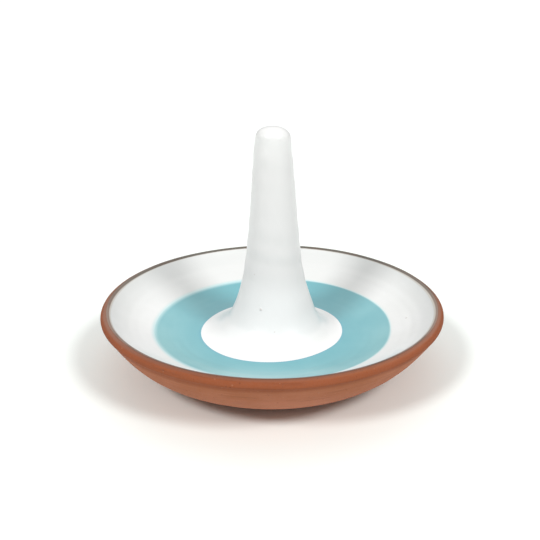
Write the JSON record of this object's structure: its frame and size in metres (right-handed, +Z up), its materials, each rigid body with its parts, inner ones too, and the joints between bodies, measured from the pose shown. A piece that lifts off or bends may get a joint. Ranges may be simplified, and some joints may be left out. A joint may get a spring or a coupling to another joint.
{
  "type": "ring dish",
  "caption": "Thrown earthenware ring dish: a shallow footed bowl, glazed inside with a coloured band, round a tapered spire that finger rings drop over",
  "frame": {"origin": "on the table, in the middle of the foot ring, under the spire", "axes": "+Z up along the spire and the axis of the throwing; +X to the right in the picture, +Y away from the viewer"},
  "size_m": [0.1144, 0.1144, 0.0811],
  "materials": {
    "bare_clay": "unglazed red earthenware, fine sandy grain, matt",
    "joint_clay": "fired luting slip, matt",
    "white_glaze": "soft satin to gloss white glaze",
    "turquoise_glaze": "soft satin to gloss pale turquoise glaze",
    "thin_glaze": "thin glaze broken grey-brown over the clay, satin"
  },
  "bodies": {
    "root": {"dish_body": "bare_clay", "luting_slip": "joint_clay", "spire_core": "bare_clay", "spire_glaze": "white_glaze", "band_glaze": "turquoise_glaze", "wall_glaze": "white_glaze", "rim_line": "thin_glaze"}
  },
  "joints": []
}
